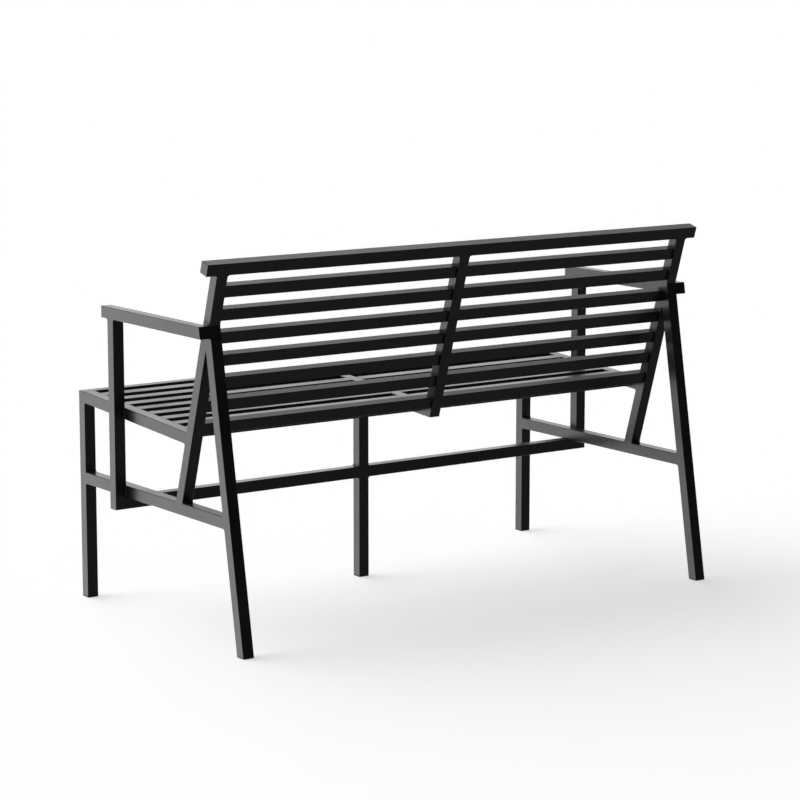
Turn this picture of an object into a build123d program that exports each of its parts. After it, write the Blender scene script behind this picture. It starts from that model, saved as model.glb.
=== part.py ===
"""Two-seat outdoor dining bench, welded from square tube with flat slats.

Millimetres. +Z is up, the seat faces -Y and +X is the right end as seen from the front. The origin is on
the floor, under the middle of the bench's box.
"""

import os
from math import cos, radians, sin, tan

from build123d import *

os.makedirs("parts", exist_ok=True)

# Overall sizes, with leans in degrees
overall_width = 1250.0  # over both armrests, and the length of the top rail
seat_height = 450.0  # floor to the top of the front seat rail
seat_depth = 448.0  # bench's front to the back's front, at the seat
seat_fall = 3.5  # the seat drops toward the back
back_rise = 132.0  # armrests to the front upper edge of the top rail
back_lean = 17.0  # the back leans away from the sitter
arm_rise = 200.0  # seat to the top of the armrests
arm_setback = 175.0  # bench's front to the arm uprights
arm_overhang = 25.0  # armrests, forward of their uprights
rear_leg_lean = 10.0  # the rear legs' feet stand behind their tops
stretcher_height = 225.0  # floor to the stretcher's underside

# Square frame tube
tube = 25.0
tube_wall = 2.0
tube_corner = 1.5  # outside radius of its long edges

# Flat slat tube
slat_width = 25.0  # the face that shows
slat_depth = 20.0
slat_wall = 1.5
slat_corner = 1.5
seat_slat_rows = 8
back_slat_rows = 7

# Plates that close the open tube ends
plate = 2.0

# Plastic glides under the feet
glide_sole = 3.0
glide_plug = 18.0  # reach of the plug up the leg
glide_clearance = 0.25  # plug to the tube's bore, each side

# Weld fillets in the inner corners
weld = 5.0  # along each of the two faces
weld_hollow_share = 0.8  # of the hollow at which the fillet would run smoothly into both faces

# Tubes are drawn this much long at both ends before they are cut to their neighbours
cut_overrun = 60.0

half_width = overall_width / 2
half_tube = tube / 2
frame_out = half_width - tube  # outer face of a side frame
frame_in = frame_out - tube  # inner face of a side frame
arm_height = seat_height + arm_rise
back_height = arm_height + back_rise
side_of_x = {"right": 1, "left": -1}

# Directions in the side view
out_x, back_y, up_z = Vector(1, 0, 0), Vector(0, 1, 0), Vector(0, 0, 1)
seat_run = back_y.rotate(Axis.X, -seat_fall)  # back along the seat
seat_up = up_z.rotate(Axis.X, -seat_fall)  # square to the seat
back_up = up_z.rotate(Axis.X, -back_lean)  # up the back stiles
back_out = back_y.rotate(Axis.X, -back_lean)  # out of the back's rear face
leg_up = up_z.rotate(Axis.X, rear_leg_lean)  # up the rear legs
leg_out = back_y.rotate(Axis.X, rear_leg_lean)  # out of the rear legs' rear face

# Height of the seat surface where it meets the back, and the overall depth that follows from it
seat_end_height = seat_height - (seat_depth - tube) * tan(radians(seat_fall))
stile_lean_at_arm = (arm_height - seat_end_height) * tan(radians(back_lean))
rear_leg_reach = arm_height * tan(radians(rear_leg_lean))
overall_depth = seat_depth + tube / cos(radians(back_lean)) + stile_lean_at_arm + rear_leg_reach
front = -overall_depth / 2


def meet(point, direction, face):
    """Where the line through point along direction crosses a face."""
    reach = (face.origin - point).dot(face.z_dir) / direction.dot(face.z_dir)
    return point + direction * reach


def crossing(face_a, face_b):
    """Where two faces of the side view cross."""
    return meet(face_a.origin, face_a.y_dir, face_b)


def at_x(point, x):
    """The same place in the side view, moved to x."""
    return Vector(x, point.Y, point.Z)


def lying(origin, normal):
    """A face that runs straight across the bench."""
    return Plane(origin=origin, x_dir=out_x, z_dir=normal)


def standing(x):
    """A face from front to back at x."""
    return Plane(origin=(x, 0, 0), x_dir=back_y, z_dir=out_x)


# Faces that the tubes end on or lie against
floor = lying((0, 0, 0), up_z)
sole_top = floor.offset(glide_sole)
leg_back = lying((0, front + tube, 0), back_y)
leg_top = floor.offset(seat_height)
seat_top = lying((0, front + tube, seat_height), seat_up)
seat_under = seat_top.offset(-tube)
seat_end = Vector(0, front + seat_depth, seat_end_height)
stile_front = lying(seat_end, back_out)
stile_back = stile_front.offset(tube)
back_top = lying(meet(seat_end, back_up, floor.offset(back_height)), back_up)
top_rail_under = back_top.offset(-tube)
stretcher_under = floor.offset(stretcher_height)
stretcher_top = stretcher_under.offset(tube)
low_rail_top = stretcher_top.offset(tube)
upright_front = lying((0, front + arm_setback, 0), back_y)
upright_back = upright_front.offset(tube)
arm_top = floor.offset(arm_height)
arm_under = arm_top.offset(-tube)
arm_nose = upright_front.offset(-arm_overhang)
rear_leg_back = lying(crossing(stile_back, arm_top), leg_out)
rear_leg_front = rear_leg_back.offset(-tube)

# Centre lines of the tubes, in the side view
front_leg_line = Vector(0, front + half_tube, 0)
seat_rail_line = seat_top.origin - seat_up * half_tube
low_rail_line = low_rail_top.origin - up_z * half_tube
stile_line = stile_front.origin + back_out * half_tube
rear_leg_line = rear_leg_back.origin - leg_out * half_tube
upright_line = upright_front.origin + back_y * half_tube
arm_line = arm_top.origin - up_z * half_tube
stretcher_line = upright_line + up_z * (stretcher_height + half_tube)
front_rail_line = front_leg_line + up_z * (seat_height - half_tube)
top_rail_line = meet(stile_line, back_up, back_top) - back_up * half_tube


def bar(
    point, direction, start, end, across=out_x, width=tube, depth=tube, corner=tube_corner, wall=tube_wall
):
    """Adds a straight tube to the part being built, cut off at two faces. Without a wall it is solid.

    Its centre line runs through point along direction, and its width is measured along across.
    """
    first, last = meet(point, direction, start), meet(point, direction, end)
    stock_length = (last - first).length + cut_overrun + cut_overrun
    with BuildSketch(Plane(origin=first - direction * cut_overrun, x_dir=across, z_dir=direction)) as section:
        RectangleRounded(width, depth, corner)
        if wall:
            Rectangle(width - wall - wall, depth - wall - wall, mode=Mode.SUBTRACT)
    stock = extrude(section.sketch, amount=stock_length, mode=Mode.PRIVATE)
    for face, keep in ((start, Keep.TOP), (end, Keep.BOTTOM)):
        ahead = face.z_dir.dot(direction) > 0
        stock = split(stock, bisect_by=face if ahead else -face, keep=keep, mode=Mode.PRIVATE)
    add(stock)


def slat(centre, across, sign):
    """Adds a slat tube from the middle of the bench to a side frame, with its shown face along across."""
    inner, outer = standing(sign * half_tube), standing(sign * frame_in)
    outward = out_x * sign
    bar(centre, outward, inner, outer, across, slat_width, slat_depth, slat_corner, slat_wall)


def glide(point, direction):
    """Adds the plastic foot of a leg: a flat sole, and a plug up the tube's bore."""
    plug = tube - tube_wall - tube_wall - glide_clearance - glide_clearance
    bar(point, direction, floor, sole_top, wall=None)
    bar(point, direction, sole_top, sole_top.offset(glide_plug), width=plug, depth=plug, wall=None)


def corner_weld(corner, leg_a, leg_b, along=out_x, run=tube - tube_corner - tube_corner):
    """Adds a weld in the corner between two faces that leave it along leg_a and leg_b, centred on its run."""
    nook = Plane(origin=corner, x_dir=leg_a, z_dir=along)
    toe_a, toe_b = Vector(weld, 0), nook.to_local_coords(corner + leg_b * weld)
    flat_middle = (toe_a + toe_b) / 2
    half_opening = radians(leg_a.get_angle(leg_b) / 2)
    smooth_hollow = weld * tan(half_opening) * (1 - sin(half_opening))
    hollow = flat_middle.normalized() * (weld_hollow_share * smooth_hollow)
    with BuildSketch(nook) as bead:
        with BuildLine():
            Line((0, 0), toe_a)
            ThreePointArc(toe_a, flat_middle - hollow, toe_b)
            Line(toe_b, (0, 0))
        make_face()
    extrude(bead.sketch, amount=run / 2, both=True)


def save(part, name):
    """Writes a finished piece under its own name."""
    part.label = name
    export_step(part, f"parts/{name}.step")


def mitre(sign):
    """The cut between the stretcher and an arm upright, at 45 degrees from their outer corner."""
    return Plane(origin=(sign * half_width, 0, stretcher_height), x_dir=back_y, z_dir=out_x * sign + up_z)


# Side frames, with the arm frames outside them
for side, sign in side_of_x.items():
    frame_x = sign * (frame_in + half_tube)
    arm_x = sign * (frame_out + half_tube)

    with BuildPart() as front_leg:
        bar(at_x(front_leg_line, frame_x), up_z, sole_top, leg_top.offset(-plate))
    save(front_leg.part, f"front_leg_{side}")

    with BuildPart() as seat_side_rail:
        bar(at_x(seat_rail_line, frame_x), seat_run, leg_back, stile_front)
    save(seat_side_rail.part, f"seat_side_rail_{side}")

    with BuildPart() as lower_side_rail:
        bar(at_x(low_rail_line, frame_x), back_y, leg_back, rear_leg_front)
    save(lower_side_rail.part, f"lower_side_rail_{side}")

    with BuildPart() as back_stile:
        bar(at_x(stile_line, frame_x), back_up, low_rail_top, top_rail_under)
    save(back_stile.part, f"back_stile_{side}")

    with BuildPart() as rear_leg:
        bar(at_x(rear_leg_line, frame_x), leg_up, sole_top, stile_back)
    save(rear_leg.part, f"rear_leg_{side}")

    with BuildPart() as arm_upright:
        bar(at_x(upright_line, arm_x), up_z, mitre(sign), arm_under)
    save(arm_upright.part, f"arm_upright_{side}")

    with BuildPart() as armrest:
        bar(at_x(arm_line, arm_x), back_y, arm_nose.offset(plate), rear_leg_back.offset(-plate))
    save(armrest.part, f"armrest_{side}")

# Cross tubes
with BuildPart() as stretcher:
    bar(stretcher_line, out_x, mitre(-1), mitre(1), across=back_y)
save(stretcher.part, "stretcher")

with BuildPart() as front_seat_rail:
    bar(front_rail_line, out_x, standing(-frame_in), standing(frame_in), across=back_y)
save(front_seat_rail.part, "front_seat_rail")

with BuildPart() as top_rail:
    bar(top_rail_line, out_x, standing(plate - half_width), standing(half_width - plate), across=back_out)
save(top_rail.part, "top_rail")

# Middle of the bench: foot and post on the stretcher, seat rib and back stile above them
with BuildPart() as middle_foot:
    bar(upright_line, up_z, sole_top, stretcher_under)
save(middle_foot.part, "middle_foot")

with BuildPart() as middle_post:
    bar(upright_line, up_z, stretcher_top, seat_under)
save(middle_post.part, "middle_post")

with BuildPart() as middle_seat_rib:
    bar(seat_rail_line, seat_run, leg_back, stile_front)
save(middle_seat_rib.part, "middle_seat_rib")

with BuildPart() as middle_back_stile:
    bar(stile_line, back_up, seat_under.offset(plate), top_rail_under)
save(middle_back_stile.part, "middle_back_stile")

# Seat slats, with equal gaps from the front seat rail to the stiles
seat_room = (seat_end - seat_top.origin).length
seat_gap = (seat_room - seat_slat_rows * slat_width) / (seat_slat_rows + 1)
for side, sign in side_of_x.items():
    for row in range(seat_slat_rows):
        along_seat = seat_gap + row * (slat_width + seat_gap) + slat_width / 2
        centre = seat_top.origin + seat_run * along_seat - seat_up * (slat_depth / 2)
        with BuildPart() as seat_slat:
            slat(centre, seat_run, sign)
        save(seat_slat.part, f"seat_slat_{row + 1}_{side}")

# Back slats, with equal gaps from the top rail down, the last one standing at the seat surface
back_room = (meet(seat_end, back_up, top_rail_under) - seat_end).length
back_gap = back_room / back_slat_rows - slat_width
for side, sign in side_of_x.items():
    for row in range(back_slat_rows):
        down_back = back_gap + row * (slat_width + back_gap) + slat_width / 2
        centre = seat_end + back_up * (back_room - down_back) + back_out * (slat_depth / 2)
        with BuildPart() as back_slat:
            slat(centre, back_up, sign)
        save(back_slat.part, f"back_slat_{row + 1}_{side}")

# End plates
with BuildPart() as leg_top_plates:
    for sign in side_of_x.values():
        leg_line = at_x(front_leg_line, sign * (frame_in + half_tube))
        bar(leg_line, up_z, leg_top.offset(-plate), leg_top, wall=None)
save(leg_top_plates.part, "leg_top_plates")

with BuildPart() as armrest_end_plates:
    for sign in side_of_x.values():
        arm_centre = at_x(arm_line, sign * (frame_out + half_tube))
        bar(arm_centre, back_y, arm_nose, arm_nose.offset(plate), wall=None)
        bar(arm_centre, back_y, rear_leg_back.offset(-plate), rear_leg_back, wall=None)
save(armrest_end_plates.part, "armrest_end_plates")

with BuildPart() as top_rail_end_plates:
    for sign in side_of_x.values():
        rail_end = standing(sign * (half_width - plate))
        bar(top_rail_line, out_x * sign, rail_end, standing(sign * half_width), across=back_out, wall=None)
save(top_rail_end_plates.part, "top_rail_end_plates")

with BuildPart() as middle_stile_plate:
    bar(stile_line, back_up, seat_under, seat_under.offset(plate), wall=None)
save(middle_stile_plate.part, "middle_stile_plate")

# Foot glides
with BuildPart() as foot_glides:
    for sign in side_of_x.values():
        frame_x = sign * (frame_in + half_tube)
        glide(at_x(front_leg_line, frame_x), up_z)
        glide(at_x(rear_leg_line, frame_x), leg_up)
    glide(upright_line, up_z)
save(foot_glides.part, "foot_glides")

# Weld fillets in the side frames' corners, each with the ways that its two faces leave the corner
side_corners = (
    (crossing(leg_back, seat_under), -up_z, seat_run),
    (crossing(leg_back, low_rail_top), up_z, back_y),
    (crossing(leg_back, stretcher_top), -up_z, back_y),
    (crossing(stile_front, seat_under), -back_up, -seat_run),
    (crossing(stile_front, seat_top), back_up, -seat_run),
    (crossing(stile_front, low_rail_top), back_up, -back_y),
    (crossing(stile_back, low_rail_top), back_up, back_y),
    (crossing(stile_back, rear_leg_front), -back_up, -leg_up),
    (crossing(rear_leg_front, low_rail_top), leg_up, -back_y),
    (crossing(rear_leg_front, stretcher_top), -leg_up, -back_y),
)
stile_at_rail = meet(stile_line, back_up, top_rail_under)
stile_at_arm = meet(stile_line, back_up, arm_top)
brace_front, brace_back = crossing(stile_front, arm_under), crossing(rear_leg_back, arm_under)
upright_sides = ((upright_front, -back_y), (upright_back, back_y))
for side, sign in side_of_x.items():
    outward = out_x * sign
    with BuildPart() as side_welds:
        for corner, leg_a, leg_b in side_corners:
            corner_weld(at_x(corner, sign * (frame_in + half_tube)), leg_a, leg_b)
        # Stile to top rail, inside and outside
        corner_weld(at_x(stile_at_rail, sign * frame_in), -back_up, -outward, along=back_out)
        corner_weld(at_x(stile_at_rail, sign * frame_out), -back_up, outward, along=back_out)
        # Armrest to the side frame, above and below
        corner_weld(at_x(stile_at_arm, sign * frame_out), up_z, outward, along=back_y)
        brace = at_x((brace_front + brace_back) / 2, sign * frame_out)
        brace_run = (brace_back - brace_front).length - tube_corner - tube_corner
        corner_weld(brace, -up_z, outward, along=back_y, run=brace_run)
        for face, away in upright_sides:
            # Arm upright to the armrest, then to the two side rails that it passes
            arm_corner = at_x(crossing(face, arm_under), sign * (frame_out + half_tube))
            corner_weld(arm_corner, -up_z, away)
            for rail_line, rail_run in ((seat_rail_line, seat_run), (low_rail_line, back_y)):
                passing = at_x(meet(rail_line, rail_run, face), sign * frame_out)
                corner_weld(passing, away, outward, along=up_z)
    save(side_welds.part, f"side_frame_welds_{side}")

# Weld fillets in the middle of the bench
with BuildPart() as centre_welds:
    corner_weld(crossing(upright_front, seat_under), -up_z, -seat_run)
    corner_weld(crossing(upright_back, seat_under), -up_z, seat_run)
    corner_weld(seat_end, back_up, -seat_run)
    for sign in side_of_x.values():
        outward = out_x * sign
        corner_weld(at_x(stile_at_rail, sign * half_tube), -back_up, outward, along=back_out)
        for face, leg in ((stretcher_top, up_z), (stretcher_under, -up_z)):
            corner = at_x(meet(upright_line, up_z, face), sign * half_tube)
            corner_weld(corner, leg, outward, along=back_y)
save(centre_welds.part, "centre_welds")
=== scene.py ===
"""Finishes the two-seat outdoor dining bench: black powder coat over welded square tube, on plastic glides.

Metres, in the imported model's frame. +Z is up, the seat faces -Y, and +X is the right end as seen from the
front.
"""

from __future__ import annotations

import logging
import math
from collections.abc import Iterable
from dataclasses import dataclass, field
from enum import Enum

import bmesh
import bpy
from mathutils import Matrix, Vector

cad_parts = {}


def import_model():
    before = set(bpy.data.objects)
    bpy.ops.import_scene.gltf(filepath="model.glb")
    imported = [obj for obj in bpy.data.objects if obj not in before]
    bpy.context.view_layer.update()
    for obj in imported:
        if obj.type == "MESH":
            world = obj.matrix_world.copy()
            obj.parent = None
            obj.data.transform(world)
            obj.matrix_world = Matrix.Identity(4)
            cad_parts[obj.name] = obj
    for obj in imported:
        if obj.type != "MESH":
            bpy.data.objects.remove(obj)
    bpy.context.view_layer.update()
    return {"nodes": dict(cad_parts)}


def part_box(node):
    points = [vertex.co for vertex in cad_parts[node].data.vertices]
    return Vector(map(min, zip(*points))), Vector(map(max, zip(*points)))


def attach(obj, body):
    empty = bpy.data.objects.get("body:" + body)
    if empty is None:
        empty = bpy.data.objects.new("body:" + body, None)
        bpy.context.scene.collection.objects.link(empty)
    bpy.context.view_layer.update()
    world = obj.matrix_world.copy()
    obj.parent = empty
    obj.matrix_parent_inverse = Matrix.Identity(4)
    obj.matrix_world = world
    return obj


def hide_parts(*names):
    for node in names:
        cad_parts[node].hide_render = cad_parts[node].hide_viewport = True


log = logging.getLogger("bench")

OUT_X = Vector((1.0, 0.0, 0.0))
BACK_Y = Vector((0.0, 1.0, 0.0))
UP_Z = Vector((0.0, 0.0, 1.0))
SAME_WAY = 0.9  # least cosine between two directions that count as one
TOUCHING = 1e-6  # distance at which two places count as one

Colour = tuple[float, float, float]
Stops = tuple[tuple[float, float], ...]  # a ramp's positions and greys, from left to right


def leaned(direction: Vector, degrees: float) -> Vector:
    """Turns a direction about the X axis.

    Args:
        direction: The direction before the turn.
        degrees: The angle, positive from +Y toward +Z.

    Returns:
        The turned direction.
    """
    return Matrix.Rotation(math.radians(degrees), 3, "X") @ direction


def at_x(point: Vector, x: float) -> Vector:
    """Returns the same place in the side view, moved to x."""
    return Vector((x, point.y, point.z))


def round_off(
    bm: bmesh.types.BMesh, edges: list[bmesh.types.BMEdge], radius: float, steps: int
) -> None:
    """Rounds edges.

    Args:
        bm: The mesh that they belong to.
        edges: The edges.
        radius: How far the rounding reaches from each.
        steps: Facets across it.
    """
    bmesh.ops.bevel(
        bm, geom=edges, offset=radius, offset_type="OFFSET", segments=steps,
        profile=0.5, affect="EDGES", clamp_overlap=True, material=-1,
    )


class Side(Enum):
    """The two ends of the bench, named as they are seen from the front."""

    RIGHT = 1
    LEFT = -1

    @property
    def label(self) -> str:
        """The word that ends the names of this side's pieces."""
        return self.name.lower()

    @property
    def outward(self) -> Vector:
        """The direction out of the bench at this end."""
        return OUT_X * self.value


class BeadEnd(Enum):
    """How a weld bead stops."""

    FLUSH = "rounded over with the tubes' edges, level with their faces"
    FADED = "dying away on the face that it lies on"


class Wire:
    """One shader socket. Arithmetic on it adds the Math nodes."""

    def __init__(self, graph: Graph, socket: bpy.types.NodeSocket) -> None:
        """Wraps a socket.

        Args:
            graph: The node tree that the socket belongs to.
            socket: The output that the wire starts from.
        """
        self.graph = graph
        self.socket = socket

    def _maths(self, operation: str, first: Wire | float, second: Wire | float) -> Wire:
        """Adds one Math node.

        Args:
            operation: The Math node's operation.
            first: Its first value.
            second: Its second value.

        Returns:
            The wire from the node's value.
        """
        return self.graph.add("ShaderNodeMath", {"operation": operation}, {0: first, 1: second})

    def __add__(self, other: Wire | float) -> Wire:
        """Returns the sum."""
        return self._maths("ADD", self, other)

    def __radd__(self, other: float) -> Wire:
        """Returns the sum with a number on the left."""
        return self._maths("ADD", other, self)

    def __sub__(self, other: Wire | float) -> Wire:
        """Returns the difference."""
        return self._maths("SUBTRACT", self, other)

    def __rsub__(self, other: float) -> Wire:
        """Returns a number less the wire."""
        return self._maths("SUBTRACT", other, self)

    def __mul__(self, other: Wire | float) -> Wire:
        """Returns the product."""
        return self._maths("MULTIPLY", self, other)

    def __rmul__(self, other: float) -> Wire:
        """Returns the product with a number on the left."""
        return self._maths("MULTIPLY", other, self)

    def at_least(self, other: Wire | float) -> Wire:
        """Returns the larger of the two."""
        return self._maths("MAXIMUM", self, other)


class Graph:
    """The node tree of one material or world."""

    def __init__(self, owner: bpy.types.Material | bpy.types.World) -> None:
        """Empties the owner's node tree.

        Args:
            owner: The material or world to build.
        """
        owner.use_nodes = True
        self.tree = owner.node_tree
        self.tree.nodes.clear()

    def add(
        self,
        kind: str,
        settings: dict[str, object] | None = None,
        sockets: dict[str | int, object] | None = None,
        output: str | int = 0,
    ) -> Wire:
        """Adds a node.

        Args:
            kind: The node's type.
            settings: What is set on the node first. "stops" holds a ramp's (position, grey) pairs.
            sockets: Values or wires for its inputs, by name or number.
            output: The output that the returned wire starts from.

        Returns:
            The wire from that output.
        """
        node = self.tree.nodes.new(kind)
        for key, value in (settings or {}).items():
            if key == "stops":
                self._set_stops(node.color_ramp, value)
            else:
                setattr(node, key, value)
        for key, value in (sockets or {}).items():
            if isinstance(value, Wire):
                self.tree.links.new(value.socket, node.inputs[key])
            else:
                node.inputs[key].default_value = value
        return Wire(self, node.outputs[output])

    @staticmethod
    def _set_stops(ramp: bpy.types.ColorRamp, stops: Stops) -> None:
        """Gives a colour ramp its stops.

        Args:
            ramp: The ramp.
            stops: Its positions and greys.
        """
        while len(ramp.elements) > len(stops):
            ramp.elements.remove(ramp.elements[-1])
        while len(ramp.elements) < len(stops):
            ramp.elements.new(1.0)
        for element, (position, grey) in zip(ramp.elements, stops):
            element.position = position
            element.color = (grey, grey, grey, 1.0)

    def place(self) -> Wire:
        """Returns the point on the object."""
        return self.add("ShaderNodeTexCoord", output="Object")

    def part(self, vector: Wire, axis: str) -> Wire:
        """Returns the vector's "X", "Y" or "Z"."""
        return self.add("ShaderNodeSeparateXYZ", sockets={0: vector}, output=axis)

    def rays(self) -> tuple[Wire, Wire]:
        """Tells the kinds of rays apart.

        Returns:
            A wire that is 1 for what is looked at, straight or through something clear, and a wire that is 1
            for what is mirrored.
        """
        names = ("Is Camera Ray", "Is Transmission Ray", "Is Glossy Ray")
        straight, through, mirrored = (self.add("ShaderNodeLightPath", output=name) for name in names)
        return straight.at_least(through), mirrored

    def noise(self, place: Wire, size: float, detail: float = 2.0, output: str = "Fac") -> Wire:
        """Adds fractal noise.

        Args:
            place: The coordinates.
            size: Size of its patches.
            detail: How many finer layers it has.
            output: The output to use.

        Returns:
            The wire from the noise.
        """
        return self.add(
            "ShaderNodeTexNoise",
            sockets={"Vector": place, "Scale": 1.0 / size, "Detail": detail},
            output=output,
        )

    def ramp(self, value: Wire, stops: Stops) -> Wire:
        """Returns the value after a grey ramp with these stops."""
        return self.add("ShaderNodeValToRGB", {"stops": stops}, {"Fac": value})

    def blend(self, share: Wire, first: Colour, second: Colour) -> Wire:
        """Mixes two colours.

        Args:
            share: Share of the second colour.
            first: The first colour.
            second: The second colour.

        Returns:
            The wire from the mixed colour.
        """
        return self.add(
            "ShaderNodeMix",
            {"data_type": "RGBA"},
            {0: share, 6: (*first, 1.0), 7: (*second, 1.0)},
            output=2,
        )

    def relief(self, height: Wire, depth: float, below: Wire | None = None) -> Wire:
        """Adds relief to the surface.

        Args:
            height: Height from 0 to 1.
            depth: What 1 stands for.
            below: The normal that this relief lies on.

        Returns:
            The wire from the new normal.
        """
        sockets: dict[str | int, object] = {"Height": height, "Distance": depth}
        if below is not None:
            sockets["Normal"] = below
        return self.add("ShaderNodeBump", sockets=sockets, output="Normal")

    def surface(self, sockets: dict[str | int, object]) -> None:
        """Ends the tree with a Principled shader that has these values and wires."""
        shader = self.add("ShaderNodeBsdfPrincipled", sockets=sockets)
        self.output("ShaderNodeOutputMaterial", shader)

    def output(self, kind: str, shader: Wire) -> None:
        """Ends the tree with an output of this type."""
        end = self.tree.nodes.new(kind)
        self.tree.links.new(shader.socket, end.inputs["Surface"])


@dataclass(frozen=True)
class PowderCoat:
    """Black, fine-structured powder coat over aluminium."""

    name: str
    shade: Colour = (0.018, 0.0185, 0.0195)
    faded: Colour = (0.034, 0.035, 0.036)  # where the coat has lain in the weather
    roughness: float = 0.30
    patch_roughness: float = 0.10  # how much the patches change it
    grain_roughness: float = 0.06  # how much the grain changes it
    bending: float = 1.58  # index of refraction
    specular: float = 0.5
    patch: float = 0.14  # size of the slight changes of shade
    patch_edge: Stops = ((0.35, 0.0), (0.7, 1.0))
    patch_fading: float = 0.5  # how far the patches fade the coat
    upward_edge: Stops = ((0.6, 0.0), (1.0, 1.0))  # by the normal's Z
    upward_fading: float = 0.3  # how far faces that look up fade
    grain: float = 0.0007  # pitch of the coat's fine structure
    grain_depth: float = 0.000035
    swell: float = 0.007  # pitch of the slow waves that the melted powder leaves
    swell_depth: float = 0.000045
    dip_share: float = 0.6  # share of the fading in a wave's dip
    crest_share: float = 0.8  # what a crest adds to it

    def material(self) -> bpy.types.Material:
        """Builds the coat as a material.

        Returns:
            The material.
        """
        made = bpy.data.materials.new(self.name)
        graph = Graph(made)
        place = graph.place()
        patches = graph.ramp(graph.noise(place, self.patch, detail=3.0), self.patch_edge)
        normal = graph.add("ShaderNodeTexCoord", output="Normal")
        upward = graph.ramp(graph.part(normal, "Z"), self.upward_edge)
        swell = graph.noise(place, self.swell, detail=1.0)
        grain = graph.noise(place, self.grain)
        fading = patches * self.patch_fading + upward * self.upward_fading
        weathered = fading * (self.dip_share + self.crest_share * swell)
        rough = self.roughness + self.patch_roughness * (patches - 0.5)
        graph.surface(
            {
                "Base Color": graph.blend(weathered, self.shade, self.faded),
                "Roughness": rough + self.grain_roughness * (grain - 0.5),
                "IOR": self.bending,
                "Specular IOR Level": self.specular,
                "Normal": graph.relief(grain, self.grain_depth, graph.relief(swell, self.swell_depth)),
            }
        )
        return made


@dataclass(frozen=True)
class MouldedPlastic:
    """Black moulded plastic with an eroded mould's fine grain, scuffed near the floor."""

    name: str
    shade: Colour = (0.016, 0.016, 0.017)
    scuffed: Colour = (0.05, 0.05, 0.05)
    roughness: float = 0.5
    scuff_roughness: float = 0.18  # what a scuff adds to it
    grain_roughness: float = 0.1  # how much the grain changes it
    scuff_height: float = 0.0022  # scuffs fade out this far above the floor
    scratch: float = 0.0012  # size of the scuffs' scratches
    scratch_edge: Stops = ((0.48, 0.0), (0.62, 1.0))
    grain: float = 0.0005
    grain_depth: float = 0.00003

    def material(self) -> bpy.types.Material:
        """Builds the plastic as a material.

        Returns:
            The material.
        """
        made = bpy.data.materials.new(self.name)
        graph = Graph(made)
        place = graph.place()
        height = graph.part(place, "Z") * (1.0 / self.scuff_height)
        low = 1.0 - graph.ramp(height, ((0.0, 0.0), (1.0, 1.0)))
        worn = low * graph.ramp(graph.noise(place, self.scratch, detail=4.0), self.scratch_edge)
        grain = graph.noise(place, self.grain, detail=1.0)
        rough = self.roughness + self.scuff_roughness * worn
        graph.surface(
            {
                "Base Color": graph.blend(worn, self.shade, self.scuffed),
                "Roughness": rough + self.grain_roughness * (grain - 0.5),
                "Normal": graph.relief(grain, self.grain_depth),
            }
        )
        return made


class Workshop:
    """Collects one piece's geometry and hands it over as an object of the frame."""

    sharp_angle: float = math.radians(32.0)  # edges that turn less are shaded smooth

    def __init__(self, name: str) -> None:
        """Starts an empty piece.

        Args:
            name: The piece's name.
        """
        self.name = name
        self.bm = bmesh.new()

    def join(self, part: bmesh.types.BMesh) -> None:
        """Takes in a part that was built on its own.

        Args:
            part: The part, which is freed.
        """
        mesh = bpy.data.meshes.new("part")
        part.to_mesh(mesh)
        part.free()
        self.bm.from_mesh(mesh)
        bpy.data.meshes.remove(mesh)

    def finish(self, material: bpy.types.Material, slot: str, *nodes: str) -> bpy.types.Object:
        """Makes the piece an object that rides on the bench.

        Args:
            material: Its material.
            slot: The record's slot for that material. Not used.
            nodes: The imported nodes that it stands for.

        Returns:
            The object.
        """
        bmesh.ops.recalc_face_normals(self.bm, faces=self.bm.faces)
        for face in self.bm.faces:
            face.smooth = True
        for edge in self.bm.edges:
            edge.smooth = edge.calc_face_angle(0.0) < self.sharp_angle
        mesh = bpy.data.meshes.new(self.name)
        self.bm.to_mesh(mesh)
        self.bm.free()
        mesh.materials.append(material)
        piece = bpy.data.objects.new(self.name, mesh)
        evened = piece.modifiers.new("flat_faces_stay_flat", "WEIGHTED_NORMAL")
        evened.weight, evened.keep_sharp = 100, True
        bpy.context.scene.collection.objects.link(piece)
        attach(piece, "root")
        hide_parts(*nodes)
        log.info("%s: %d faces, stands for %s", self.name, len(mesh.polygons), ", ".join(nodes))
        return piece


@dataclass(frozen=True)
class Face:
    """A flat face of the frame that runs straight across the bench, seen edge-on from the side."""

    point: Vector
    normal: Vector

    def offset(self, distance: float) -> Face:
        """Returns the face moved along its normal."""
        return Face(self.point + self.normal * distance, self.normal)

    def cross(self, other: Face) -> Vector:
        """Finds where the two faces cross.

        Args:
            other: The other face.

        Returns:
            The point in the side view, at x = 0.
        """
        run = OUT_X.cross(self.normal)
        reach = (other.point - self.point).dot(other.normal) / run.dot(other.normal)
        return at_x(self.point + run * reach, 0.0)


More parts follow.
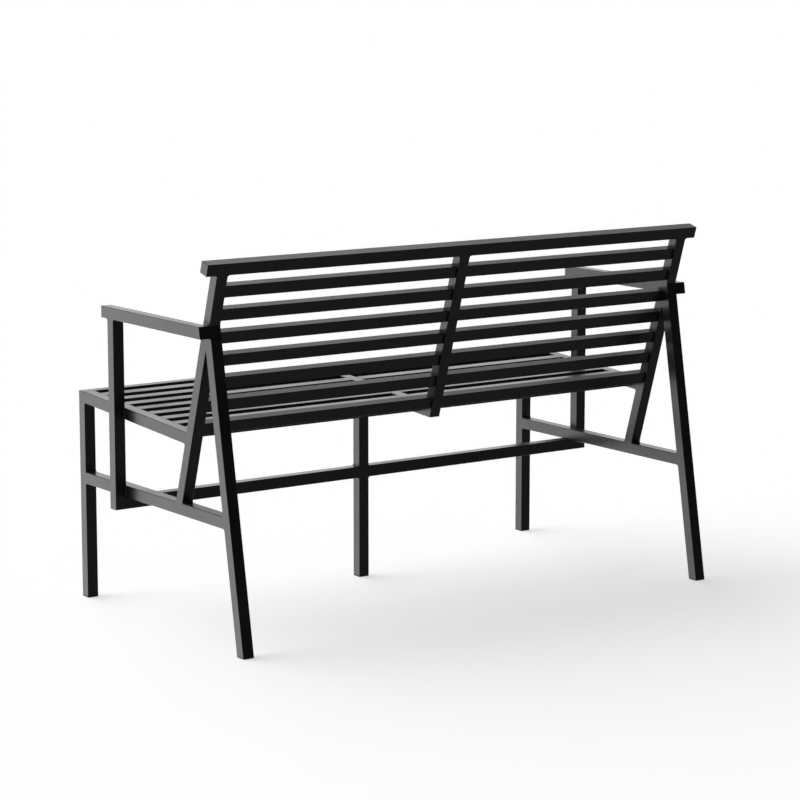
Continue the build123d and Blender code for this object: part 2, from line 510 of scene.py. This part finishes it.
@dataclass
class FrameLines:
    """The faces of the frame's tubes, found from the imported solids' boxes and the three leans."""

    tube: float = 0.025
    corner: float = 0.0015  # radius of the tubes' long edges
    seat_fall: float = 3.5  # degrees, as the two leans below
    back_lean: float = 17.0
    leg_lean: float = 10.0

    def __post_init__(self) -> None:
        """Works out the faces and where they cross."""
        front_leg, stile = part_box("front_leg_right"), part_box("back_stile_right")
        rear_leg, low_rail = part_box("rear_leg_right"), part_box("lower_side_rail_right")
        stretcher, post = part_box("stretcher"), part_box("middle_post")
        armrest, leg_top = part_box("armrest_right"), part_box("leg_top_plates")
        self.half = self.tube / 2
        self.inner, self.outer = front_leg[0].x, front_leg[1].x
        self.seat_run, self.seat_up = leaned(BACK_Y, -self.seat_fall), leaned(UP_Z, -self.seat_fall)
        self.back_up, self.back_out = leaned(UP_Z, -self.back_lean), leaned(BACK_Y, -self.back_lean)
        self.leg_up, self.leg_out = leaned(UP_Z, self.leg_lean), leaned(BACK_Y, self.leg_lean)

        self.leg_back = Face(front_leg[1], BACK_Y)
        self.leg_top = Face(leg_top[1], UP_Z)
        self.seat_top = Face(Vector((0.0, front_leg[1].y, leg_top[1].z)), self.seat_up)
        self.seat_under = self.seat_top.offset(-self.tube)
        self.stile_front = Face(stile[0], self.back_out)
        self.stile_back = self.stile_front.offset(self.tube)
        stile_end = self.stile_front.cross(Face(stile[1], UP_Z))
        self.top_rail_under = Face(stile_end, self.back_up)
        self.rear_leg_back = Face(Vector((0.0, rear_leg[1].y, rear_leg[0].z)), self.leg_out)
        self.rear_leg_front = self.rear_leg_back.offset(-self.tube)
        self.low_rail_top = Face(low_rail[1], UP_Z)
        self.stretcher_top = Face(stretcher[1], UP_Z)
        self.stretcher_under = Face(stretcher[0], UP_Z)
        self.upright_front, self.upright_back = Face(post[0], BACK_Y), Face(post[1], BACK_Y)
        self.arm_under, self.arm_top = Face(armrest[0], UP_Z), Face(armrest[1], UP_Z)
        self.stile_at_rail = self.stile_front.offset(self.half).cross(self.top_rail_under)
        self.stile_at_arm = self.stile_front.offset(self.half).cross(self.arm_top)
        self.brace_front = self.stile_front.cross(self.arm_under)
        self.brace_back = self.rear_leg_back.cross(self.arm_under)

    def frame_x(self, side: Side) -> float:
        """Returns where the middle of a side frame's tubes is, across the bench."""
        return side.value * (self.inner + self.half)

    def arm_x(self, side: Side) -> float:
        """Returns where the middle of an arm's tubes is, across the bench."""
        return side.value * (self.outer + self.half)

    def face_x(self, side: Side, depth: float = 0.0) -> float:
        """Returns the place this deep inside a side frame's outer face, across the bench."""
        return side.value * self.outer - side.value * depth

    def stile_sides(self, side: Side) -> tuple[Vector, Vector]:
        """Finds the inner and outer corner between a stile and the top rail.

        Args:
            side: The end of the bench.

        Returns:
            The inner corner and the outer one, half-way between the stile's front and back.
        """
        inner = at_x(self.stile_at_rail, self.face_x(side, self.tube))
        return inner, at_x(self.stile_at_rail, self.face_x(side))


@dataclass
class WeldSeams:
    """Welds of the frame: fillets in the inner corners, and the fill ground level with the tubes' faces."""

    lines: FrameLines
    coat: bpy.types.Material
    leg: float = 0.005  # reach of a fillet along each face
    sweep_steps: int = 9  # facets across the hollow
    ring: float = 0.0005  # spacing of the rings along a bead
    edge_rings: int = 5  # rings in a rounded end
    ripple: float = 0.00007
    ripple_pitch: float = 0.0026
    ripple_core: float = 0.3  # share of the reach, from the corner line out, that has no ripples
    fade: float = 0.004  # length over which a free end dies away
    fade_least: float = 0.12  # share of the section that its last ring keeps
    shop: Workshop = field(init=False)

    def _stations(self, run: float, end: float) -> list[float]:
        """Spaces the rings along a bead, closer together at its ends.

        Args:
            run: The bead's length.
            end: Length of each end.

        Returns:
            Distances from the bead's start.
        """
        quarter = math.pi / 2 / self.edge_rings
        turn = [end * (1.0 - math.cos(quarter * k)) for k in range(self.edge_rings + 1)]
        count = max(1, round((run - 2 * end) / self.ring))
        middle = [end + (run - 2 * end) * k / count for k in range(1, count)]
        return turn + middle + [run - s for s in reversed(turn)]

    def _shape(
        self,
        verts: Iterable[bmesh.types.BMVert],
        corner: Vector,
        inward: Vector,
        along: Vector,
        run: float,
        half_angle: float,
        end: BeadEnd,
    ) -> None:
        """Gives a straight bead its ripples and its ends.

        Args:
            verts: The bead's vertices.
            corner: Middle of the corner line.
            inward: From the corner line into the open side.
            along: The corner line's direction.
            run: The bead's length.
            half_angle: Half of the corner's opening.
            end: How it stops.
        """
        radius = self.lines.corner
        for vert in verts:
            offset = vert.co - corner
            s = offset.dot(along)
            rim = max(0.0, run / 2 - abs(s))
            section = offset - along * s
            if end is BeadEnd.FLUSH:
                tuck = radius - math.sqrt(max(0.0, radius**2 - max(0.0, radius - rim) ** 2))
                section -= inward * (tuck / math.sin(half_angle))
                calm = min(1.0, max(0.0, rim - radius) / radius)
            else:
                short = max(0.0, 1.0 - rim / self.fade)
                section *= max(self.fade_least, math.sqrt(max(0.0, 1.0 - short**2)))
                calm = 1.0 - short
            if section.length / self.leg > self.ripple_core:
                wave = 0.5 + 0.5 * math.cos(2 * math.pi * s / self.ripple_pitch)
                section += inward * (self.ripple * wave * calm)
            vert.co = corner + along * s + section

    def fillet(
        self, corner: Vector, leg_a: Vector, leg_b: Vector, along: Vector, run: float, end: BeadEnd
    ) -> None:
        """Lays a fillet in the corner between two faces.

        Args:
            corner: Middle of the corner line.
            leg_a: The way one face leaves the corner.
            leg_b: The way the other face leaves it.
            along: The corner line's direction.
            run: The bead's length.
            end: How it stops.
        """
        bm = bmesh.new()
        half_angle = leg_a.angle(leg_b) / 2
        inward = (leg_a + leg_b).normalized()
        axis = leg_a.cross(leg_b).normalized()
        if axis.dot(along) < 0:
            along = -along
        start = corner - along * (run / 2)
        centre = start + inward * (self.leg / math.cos(half_angle))
        toe = bm.verts.new(start + leg_a * self.leg)
        sweep = -(math.pi - 2 * half_angle)
        bmesh.ops.spin(bm, geom=[toe], cent=centre, axis=along, angle=sweep, steps=self.sweep_steps)
        section = bm.faces.new([*bm.verts, bm.verts.new(start)])
        stations = self._stations(run, self.lines.corner if end is BeadEnd.FLUSH else self.fade)
        first = True
        for here, there in zip(stations, stations[1:]):
            grown = bmesh.ops.extrude_face_region(bm, geom=[section], use_keep_orig=first)["geom"]
            moved = [g for g in grown if isinstance(g, bmesh.types.BMVert)]
            bmesh.ops.translate(bm, verts=moved, vec=along * (there - here))
            section = next(g for g in grown if isinstance(g, bmesh.types.BMFace))
            first = False
        self._shape(bm.verts, corner, inward, along, run, half_angle, end)
        self.shop.join(bm)

    def fill(self, first: Vector, last: Vector, into: Vector, out: Vector) -> None:
        """Fills the groove between a tube's end and the rounded edge that it meets.

        Args:
            first: One end of the groove, on the level face and on the joint.
            last: Its other end.
            into: From the tube's end into the tube that it meets.
            out: Out of the level face.
        """
        size = self.lines.corner
        run = last - first
        middle = (first + last) / 2 + into * (size / 2) - out * (size / 2)
        axes = Matrix((run, into * size, -out * size)).transposed().to_4x4()
        bmesh.ops.create_cube(self.shop.bm, size=1.0, matrix=Matrix.Translation(middle) @ axes)

    def level_joint(
        self, corner_a: Vector, corner_b: Vector, into: Vector, faces: list[Vector]
    ) -> None:
        """Fills the grooves of one joint on its level faces.

        Args:
            corner_a: One corner of the joint, half-way between its level faces.
            corner_b: The other corner.
            into: From the tube's end into the tube that it meets.
            faces: The level faces' outward directions, square to the joint's line.
        """
        for out in faces:
            rise = out * self.lines.half
            self.fill(corner_a + rise, corner_b + rise, into, out)

    def side_frame(self, side: Side) -> bpy.types.Object:
        """Welds one side frame.

        Args:
            side: The end of the bench.

        Returns:
            The piece.
        """
        self.shop = Workshop(f"side_frame_weld_seams_{side.label}")
        self._corner_fillets(side)
        self._passing_fillets(side)
        self._side_grooves(side)
        return self.shop.finish(self.coat, "frame", f"side_frame_welds_{side.label}")

    def _corner_fillets(self, side: Side) -> None:
        """Lays the fillets inside a side frame and beside its stile's top.

        Args:
            side: The end of the bench.
        """
        lines, tube = self.lines, self.lines.tube
        inner_corners = (
            (lines.leg_back.cross(lines.seat_under), -UP_Z, lines.seat_run),
            (lines.leg_back.cross(lines.low_rail_top), UP_Z, BACK_Y),
            (lines.leg_back.cross(lines.stretcher_top), -UP_Z, BACK_Y),
            (lines.stile_front.cross(lines.seat_under), -lines.back_up, -lines.seat_run),
            (lines.stile_front.cross(lines.seat_top), lines.back_up, -lines.seat_run),
            (lines.stile_front.cross(lines.low_rail_top), lines.back_up, -BACK_Y),
            (lines.stile_back.cross(lines.low_rail_top), lines.back_up, BACK_Y),
            (lines.stile_back.cross(lines.rear_leg_front), -lines.back_up, -lines.leg_up),
            (lines.rear_leg_front.cross(lines.low_rail_top), lines.leg_up, -BACK_Y),
            (lines.rear_leg_front.cross(lines.stretcher_top), -lines.leg_up, -BACK_Y),
        )
        for place, leg_a, leg_b in inner_corners:
            self.fillet(at_x(place, lines.frame_x(side)), leg_a, leg_b, OUT_X, tube, BeadEnd.FLUSH)
        for place, away in zip(lines.stile_sides(side), (-side.outward, side.outward)):
            self.fillet(place, -lines.back_up, away, lines.back_out, tube, BeadEnd.FLUSH)

    def _passing_fillets(self, side: Side) -> None:
        """Lays the fillets where an arm's tubes meet each other and pass the side frame.

        Args:
            side: The end of the bench.
        """
        lines, outward, face_x = self.lines, side.outward, self.lines.face_x(side)
        short = lines.tube - 2 * lines.corner
        self.fillet(at_x(lines.stile_at_arm, face_x), UP_Z, outward, BACK_Y, short, BeadEnd.FADED)
        brace = at_x((lines.brace_front + lines.brace_back) / 2, face_x)
        brace_run = (lines.brace_back - lines.brace_front).length - 2 * lines.corner
        self.fillet(brace, -UP_Z, outward, BACK_Y, brace_run, BeadEnd.FADED)
        rails = (lines.seat_top.offset(-lines.half), lines.low_rail_top.offset(-lines.half))
        for face, away in ((lines.upright_front, -BACK_Y), (lines.upright_back, BACK_Y)):
            arm = at_x(face.cross(lines.arm_under), lines.arm_x(side))
            self.fillet(arm, -UP_Z, away, OUT_X, lines.tube, BeadEnd.FLUSH)
            for rail in rails:
                passing = at_x(face.cross(rail), face_x)
                self.fillet(passing, away, outward, UP_Z, short, BeadEnd.FADED)

    def _side_grooves(self, side: Side) -> None:
        """Fills the grooves at the joints of a side frame and its arm.

        Args:
            side: The end of the bench.
        """
        lines, flat = self.lines, [OUT_X, -OUT_X]
        joints = (
            (lines.leg_back, lines.seat_top, lines.seat_under, -BACK_Y),
            (lines.stile_front, lines.seat_top, lines.seat_under, lines.back_out),
            (lines.leg_back, lines.low_rail_top, lines.stretcher_top, -BACK_Y),
            (lines.rear_leg_front, lines.low_rail_top, lines.stretcher_top, lines.leg_out),
            (lines.low_rail_top, lines.stile_front, lines.stile_back, -UP_Z),
            (lines.stile_back, lines.rear_leg_front, lines.rear_leg_back, -lines.back_out),
        )
        for joint, one_side, other_side, into in joints:
            ends = [at_x(joint.cross(face), lines.frame_x(side)) for face in (one_side, other_side)]
            self.level_joint(*ends, into, flat)
        uprights = (lines.upright_front, lines.upright_back)
        ends = [at_x(face.cross(lines.arm_under), lines.arm_x(side)) for face in uprights]
        self.level_joint(*ends, UP_Z, flat)
        self.level_joint(*lines.stile_sides(side), lines.back_up, [lines.back_out, -lines.back_out])
        rail = Vector((lines.face_x(side, lines.tube), lines.leg_back.point.y - lines.half, 0.0))
        top = lines.leg_top.point.z
        under, over = rail + UP_Z * (top - lines.tube), rail + UP_Z * top
        self.level_joint(under, over, side.outward, [BACK_Y, -BACK_Y])

    def centre(self) -> bpy.types.Object:
        """Welds the middle of the bench.

        Returns:
            The piece.
        """
        lines, tube, half = self.lines, self.lines.tube, self.lines.half
        self.shop = Workshop("centre_weld_seams")
        seat_end = lines.stile_front.cross(lines.seat_top)
        post_front = lines.upright_front.cross(lines.seat_under)
        post_back = lines.upright_back.cross(lines.seat_under)
        self.fillet(post_front, -UP_Z, -lines.seat_run, OUT_X, tube, BeadEnd.FLUSH)
        self.fillet(post_back, -UP_Z, lines.seat_run, OUT_X, tube, BeadEnd.FLUSH)
        self.fillet(seat_end, lines.back_up, -lines.seat_run, OUT_X, tube, BeadEnd.FLUSH)
        post_line = lines.upright_front.offset(half)
        for side in Side:
            stile_end = at_x(lines.stile_at_rail, side.value * half)
            self.fillet(stile_end, -lines.back_up, side.outward, lines.back_out, tube, BeadEnd.FLUSH)
            for face, leg in ((lines.stretcher_top, UP_Z), (lines.stretcher_under, -UP_Z)):
                place = at_x(post_line.cross(face), side.value * half)
                self.fillet(place, leg, side.outward, BACK_Y, tube, BeadEnd.FLUSH)
        rib_end = lines.leg_back.cross(lines.seat_top.offset(-half))
        wide_joints = (
            (post_line.cross(lines.stretcher_top), -UP_Z, BACK_Y),
            (post_line.cross(lines.stretcher_under), UP_Z, BACK_Y),
            (lines.stile_at_rail, lines.back_up, lines.back_out),
            (rib_end, -BACK_Y, UP_Z),
        )
        for place, into, out in wide_joints:
            self.level_joint(place - OUT_X * half, place + OUT_X * half, into, [out, -out])
        flat = [OUT_X, -OUT_X]
        self.level_joint(post_front, post_back, lines.seat_up, flat)
        seat_end_under = lines.stile_front.cross(lines.seat_under)
        self.level_joint(seat_end, seat_end_under, lines.back_out, flat)
        return self.shop.finish(self.coat, "frame", "centre_welds")


@dataclass
class EndCaps:
    """Plates that close the tubes' open ends, with their rims broken."""

    lines: FrameLines
    coat: bpy.types.Material
    plate: float = 0.002  # thickness
    rim: float = 0.0008  # rounding of the outer rim
    corner_steps: int = 5
    rim_steps: int = 3
    shop: Workshop = field(init=False)

    def cap(
        self,
        centre: Vector,
        out: Vector,
        across: Vector,
        joined: Iterable[Vector] = (),
        face: Face | None = None,
    ) -> None:
        """Closes one end.

        Args:
            centre: Middle of the plate's outer face.
            out: Out of the tube's end.
            across: Along one pair of the plate's sides.
            joined: Sides that lie against another tube. They stay square.
            face: The slanting face that the plate lies in, if it isn't square to the tube.
        """
        bm, half = bmesh.new(), self.lines.half
        other = out.cross(across)
        sunk = Matrix.Translation(Vector((0.0, 0.0, -self.plate / 2)))
        block = sunk @ Matrix.Diagonal((2 * half, 2 * half, self.plate, 1.0))
        bmesh.ops.create_cube(bm, size=1.0, matrix=block)
        ways = ((OUT_X, across), (-OUT_X, -across), (BACK_Y, other), (-BACK_Y, -other))
        free = [way for way, side in ways if all(side.dot(j) < SAME_WAY for j in joined)]

        def on(edge: bmesh.types.BMEdge, way: Vector, reach: float) -> bool:
            """Tells whether the edge lies this far out on the plate."""
            return all(v.co.dot(way) > reach - TOUCHING for v in edge.verts)

        posts = [e for e in bm.edges if sum(on(e, way, half) for way in free) == 2]
        round_off(bm, posts, self.lines.corner, self.corner_steps)
        near_rim = half - self.lines.corner
        rims = [
            e for e in bm.edges
            if on(e, UP_Z, 0.0) and any(on(e, way, near_rim) for way in free)
        ]
        round_off(bm, rims, self.rim, self.rim_steps)
        bm.transform(Matrix.Translation(centre) @ Matrix((across, other, out)).transposed().to_4x4())
        if face is not None:
            for vert in bm.verts:
                reach = (face.point - vert.co).dot(face.normal) / out.dot(face.normal)
                vert.co += out * (reach + (vert.co - centre).dot(out))
        self.shop.join(bm)

    def leg_tops(self) -> bpy.types.Object:
        """Closes the front legs, level with the rails beside them.

        Returns:
            The piece.
        """
        self.shop = Workshop("front_leg_caps")
        lines = self.lines
        middle_y = lines.leg_back.point.y - lines.half
        for side in Side:
            centre = Vector((lines.frame_x(side), middle_y, lines.leg_top.point.z))
            self.cap(centre, UP_Z, OUT_X, joined=(BACK_Y, -side.outward))
        return self.shop.finish(self.coat, "frame", "leg_top_plates")

    def armrests(self) -> bpy.types.Object:
        """Closes both ends of the armrests.

        Returns:
            The piece.
        """
        self.shop = Workshop("armrest_caps")
        lines = self.lines
        low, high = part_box("armrest_end_plates")
        front_end = Vector((0.0, low.y, (low.z + high.z) / 2))
        rear_end = lines.rear_leg_back.cross(lines.arm_top.offset(-lines.half))
        for side in Side:
            x = lines.arm_x(side)
            self.cap(at_x(front_end, x), -BACK_Y, OUT_X)
            self.cap(at_x(rear_end, x), BACK_Y, OUT_X, face=lines.rear_leg_back)
        return self.shop.finish(self.coat, "frame", "armrest_end_plates")

    def top_rail(self) -> bpy.types.Object:
        """Closes the top rail.

        Returns:
            The piece.
        """
        self.shop = Workshop("top_rail_caps")
        lines = self.lines
        half_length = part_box("top_rail_end_plates")[1].x
        axis = lines.top_rail_under.offset(lines.half).cross(lines.stile_front.offset(lines.half))
        for side in Side:
            self.cap(at_x(axis, side.value * half_length), side.outward, lines.back_out)
        return self.shop.finish(self.coat, "frame", "top_rail_end_plates")

    def middle_stile(self) -> bpy.types.Object:
        """Closes the foot of the middle stile.

        Returns:
            The piece.
        """
        self.shop = Workshop("middle_stile_cap")
        lines = self.lines
        foot = lines.stile_front.offset(lines.half).cross(lines.seat_under)
        self.cap(foot, -lines.back_up, OUT_X, face=lines.seat_under)
        return self.shop.finish(self.coat, "frame", "middle_stile_plate")


@dataclass
class Glides:
    """Plastic feet: a sole with a rounded tread, a shadow gap under the tube, and a ribbed plug in it."""

    lines: FrameLines
    plastic: bpy.types.Material
    sole: float = 0.003  # from the floor to the tube's end
    corner_steps: int = 5
    tread: float = 0.0011  # rounding at the floor
    tread_steps: int = 4
    gap: float = 0.0005  # height and depth of the gap under the tube
    recess: float = 0.0006  # hollow in the middle of the tread
    recess_border: float = 0.005
    plug_inset: float = 0.00245  # from the tube's outside to the plug
    plug_reach: float = 0.0175
    ribs: int = 4
    rib_depth: float = 0.0006
    shop: Workshop = field(init=False)

    def glide(self, foot: Vector, up: Vector) -> None:
        """Adds one foot.

        Args:
            foot: Where the leg's centre line meets the floor.
            up: Up the leg.
        """
        bm, lines = bmesh.new(), self.lines
        blank_height = 4 * self.sole  # past both cuts, where the leg leans too
        block = Matrix.Diagonal((lines.tube, lines.tube, blank_height, 1.0))
        bmesh.ops.create_cube(bm, size=1.0, matrix=block)
        posts = [e for e in bm.edges if abs(e.verts[0].co.z - e.verts[1].co.z) > self.sole]
        round_off(bm, posts, lines.corner, self.corner_steps)
        stand = Matrix((OUT_X, up.cross(OUT_X), up)).transposed().to_4x4()
        bm.transform(Matrix.Translation(foot) @ stand)
        for height, below in ((self.tread, True), (self.sole - self.gap, False)):
            bmesh.ops.bisect_plane(
                bm,
                geom=[*bm.verts, *bm.edges, *bm.faces],
                plane_co=foot + UP_Z * height,
                plane_no=UP_Z,
                clear_inner=below,
                clear_outer=not below,
            )
        rims = [e for e in bm.edges if e.is_boundary]
        caps = bmesh.ops.holes_fill(bm, edges=rims, sides=0)["faces"]
        tread, crown = sorted(caps, key=lambda f: f.calc_center_median().z)
        turn = math.pi / 2 / self.tread_steps
        for step in range(self.tread_steps):
            drop = self.tread * (math.sin(turn * (step + 1)) - math.sin(turn * step))
            inset = self.tread * (math.cos(turn * step) - math.cos(turn * (step + 1)))
            tread = self._grow(bm, tread, -UP_Z * drop, inset)
        tread = self._grow(bm, tread, Vector(), self.recess_border)
        tread = self._grow(bm, tread, UP_Z * self.recess, self.recess)
        crown = self._grow(bm, crown, Vector(), self.gap)
        crown = self._grow(bm, crown, up * self.gap, 0.0)
        crown = self._grow(bm, crown, Vector(), self.plug_inset - self.gap)
        pitch = self.plug_reach / (2 * self.ribs)
        for _ in range(self.ribs):
            for rise, inset in ((up * pitch, 0.0), (Vector(), self.rib_depth), (up * pitch, 0.0)):
                crown = self._grow(bm, crown, rise, inset)
            crown = self._grow(bm, crown, Vector(), -self.rib_depth)
        self.shop.join(bm)

    @staticmethod
    def _grow(
        bm: bmesh.types.BMesh, face: bmesh.types.BMFace, rise: Vector, inset: float
    ) -> bmesh.types.BMFace:
        """Grows a face by one step.

        Args:
            bm: The foot.
            face: The face.
            rise: How far the new face stands off it.
            inset: How much smaller the new face is on each side.

        Returns:
            The new face.
        """
        centre = face.calc_center_median()
        half = max((v.co - centre).dot(OUT_X) for v in face.verts)
        grown = bmesh.ops.extrude_discrete_faces(bm, faces=[face])["faces"][0]
        verts = list(grown.verts)
        share = Vector((1.0, 1.0, 1.0)) * (1.0 - inset / half)
        bmesh.ops.scale(bm, verts=verts, vec=share, space=Matrix.Translation(-centre))
        bmesh.ops.translate(bm, verts=verts, vec=rise)
        return grown

    def build(self) -> bpy.types.Object:
        """Makes the five feet.

        Returns:
            The piece.
        """
        self.shop = Workshop("glides")
        lines = self.lines
        floor = Face(Vector(), UP_Z)
        front = lines.leg_back.offset(-lines.half).cross(floor)
        rear = lines.rear_leg_back.offset(-lines.half).cross(floor)
        middle = lines.upright_front.offset(lines.half).cross(floor)
        for side in Side:
            self.glide(at_x(front, lines.frame_x(side)), UP_Z)
            self.glide(at_x(rear, lines.frame_x(side)), lines.leg_up)
        self.glide(middle, UP_Z)
        return self.shop.finish(self.plastic, "glide", "foot_glides")


@dataclass
class CoatedTubes:
    """The tubes and slats that are shown as they are packed."""

    nodes: dict[str, bpy.types.Object]
    coat: bpy.types.Material

    def dress(self) -> None:
        """Gives each shown tube the coat."""
        for name, node in sorted(self.nodes.items()):
            if node.hide_render:
                continue
            for slot in node.material_slots:
                slot.material = self.coat
            log.info("%s: packed shape, %s", name, self.coat.name)


@dataclass
class Studio:
    """Camera, lamps, surroundings and floor.

    The surroundings are ramps over the direction that a ray takes: over its Z, over its X squared, and over
    its Y made 0 to 1, where 0 is straight ahead of the bench and 1 straight behind it.
    """

    camera_place: Vector = field(default_factory=lambda: Vector((3.3538, 4.7871, 1.3953)))
    camera_pitch: float = 9.513  # degrees below level
    camera_turn: float = 144.934  # degrees from looking along +Y
    focal_length: float = 123.36  # millimetres, as the sensor's width
    sensor: float = 36.0
    key_from: Vector = field(default_factory=lambda: Vector((0.476, -0.824, 0.309)))
    key_strength: float = 4.8
    key_spread: float = 100.0  # degrees
    glance_from: Vector = field(default_factory=lambda: Vector((-0.535, -0.770, 0.350)))
    glance_strength: float = 0.065
    glance_spread: float = 24.0  # degrees
    front_fade: Stops = ((0.42, 1.0), (0.62, 0.0))  # the white in front, by Y
    wide_fade: Stops = ((0.33, 1.0), (0.52, 0.19))  # its height, by Z, with a share that stays overhead
    tall_fade: Stops = ((0.74, 1.0), (0.9, 0.0))  # the height of its taller middle, by Z
    tall_sides: Stops = ((0.27, 1.0), (0.5, 0.0))  # the width of that middle, by X squared
    glow: float = 0.94  # the white's strength, as the coat mirrors it
    glow_least: float = 0.016  # the strength elsewhere
    fill: float = 0.4  # the white's strength, as it lights the bench
    fill_least: float = 0.064  # the strength elsewhere
    horizon: Stops = ((0.0, 0.0), (0.02, 1.0))  # where the mirrored floor sets in, by -Z
    ahead_fade: Stops = ((0.14, 1.0), (0.28, 0.0))  # its bright part in front, by Y
    floor_ahead: float = 1.78  # what its strength there is over the strength behind
    floor_behind: float = 0.134
    floor_half: float = 150.0  # half of its width
    floor_lit: Colour = (0.59, 0.59, 0.59)  # the share of its white that shadows can take away
    floor_even: float = 0.565  # the rest of it
    floor_dim: Colour = (0.16, 0.16, 0.16)  # what it throws back on the bench

    def camera(self) -> None:
        """Places the camera."""
        data = bpy.data.cameras.new("camera")
        data.lens, data.sensor_width = self.focal_length, self.sensor
        data.clip_end = 4 * self.floor_half
        camera = bpy.data.objects.new("camera", data)
        camera.location = self.camera_place
        tilt, turn = math.radians(90.0 - self.camera_pitch), math.radians(self.camera_turn)
        camera.rotation_euler = (tilt, 0.0, turn)
        bpy.context.scene.collection.objects.link(camera)
        bpy.context.scene.camera = camera

    def lamp(self, name: str, towards: Vector, strength: float, spread: float, gloss: bool) -> None:
        """Adds a broad soft lamp that is far away.

        Args:
            name: Its name.
            towards: From the bench to the lamp.
            strength: Its strength.
            spread: How wide it looks from the bench, in degrees.
            gloss: Whether it is reflected.
        """
        data = bpy.data.lights.new(name, "SUN")
        data.energy, data.angle = strength, math.radians(spread)
        lamp = bpy.data.objects.new(name, data)
        lamp.rotation_euler = towards.to_track_quat("Z", "Y").to_euler()
        lamp.visible_glossy = gloss
        bpy.context.scene.collection.objects.link(lamp)

    def surroundings(self) -> None:
        """Makes the world: white to look at, and bright in front and dark behind to the bench."""
        world = bpy.data.worlds.new("surroundings")
        bpy.context.scene.world = world
        graph = Graph(world)
        way = graph.add("ShaderNodeTexCoord", output="Generated")
        across, depth, height = (graph.part(way, axis) for axis in "XYZ")
        rearward = depth * 0.5 + 0.5
        front = graph.ramp(rearward, self.front_fade)
        wide = graph.ramp(height, self.wide_fade)
        tall = graph.ramp(across * across, self.tall_sides) * graph.ramp(height, self.tall_fade)
        sky = self.glow_least + self.glow * (front * wide.at_least(tall))
        ground = self.floor_behind + self.floor_ahead * graph.ramp(rearward, self.ahead_fade)
        mirrored = sky + graph.ramp(0.0 - height, self.horizon) * (ground - sky)
        lighting = self.fill_least + self.fill * (front * wide)
        is_seen, is_mirrored = graph.rays()
        unseen = lighting + is_mirrored * (mirrored - lighting)
        strength = is_seen + (1.0 - is_seen) * unseen
        white = (1.0, 1.0, 1.0, 1.0)
        shader = graph.add("ShaderNodeBackground", sockets={"Color": white, "Strength": strength})
        graph.output("ShaderNodeOutputWorld", shader)

    def floor(self) -> None:
        """Lays the pale floor, which the coat doesn't mirror, because the surroundings go on below it."""
        bm = bmesh.new()
        bmesh.ops.create_grid(bm, x_segments=1, y_segments=1, size=self.floor_half)
        mesh = bpy.data.meshes.new("floor")
        bm.to_mesh(mesh)
        bm.free()
        made = bpy.data.materials.new("pale_floor")
        graph = Graph(made)
        is_seen, is_mirrored = graph.rays()
        pale = graph.blend(is_seen, self.floor_dim, self.floor_lit)
        lit = graph.add("ShaderNodeBsdfDiffuse", sockets={"Color": pale})
        even = graph.add("ShaderNodeEmission", sockets={"Strength": self.floor_even * is_seen})
        shown = graph.add("ShaderNodeAddShader", sockets={0: lit, 1: even})
        open_air = graph.add("ShaderNodeBsdfTransparent")
        shader = graph.add("ShaderNodeMixShader", sockets={0: is_mirrored, 1: shown, 2: open_air})
        graph.output("ShaderNodeOutputMaterial", shader)
        mesh.materials.append(made)
        floor = bpy.data.objects.new("floor", mesh)
        bpy.context.scene.collection.objects.link(floor)

    def build(self) -> None:
        """Makes the whole studio."""
        bpy.context.scene.view_settings.view_transform = "Standard"
        self.camera()
        self.lamp("key", self.key_from, self.key_strength, self.key_spread, gloss=False)
        self.lamp("glance", self.glance_from, self.glance_strength, self.glance_spread, gloss=True)
        self.surroundings()
        self.floor()


def main() -> None:
    """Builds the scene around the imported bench."""
    logging.basicConfig(format="%(name)s: %(message)s")
    log.setLevel(logging.INFO)
    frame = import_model()
    Studio().build()
    tube_coat = PowderCoat("powder_coat").material()
    weld_coat = PowderCoat("powder_coat_on_welds", grain_depth=0.00002, swell_depth=0.00003).material()
    plastic = MouldedPlastic("moulded_plastic").material()
    lines = FrameLines()
    seams = WeldSeams(lines, weld_coat)
    for side in Side:
        seams.side_frame(side)
    seams.centre()
    caps = EndCaps(lines, weld_coat)
    caps.leg_tops()
    caps.armrests()
    caps.top_rail()
    caps.middle_stile()
    Glides(lines, plastic).build()
    CoatedTubes(frame["nodes"], tube_coat).dress()


if __name__ == "__main__":
    main()
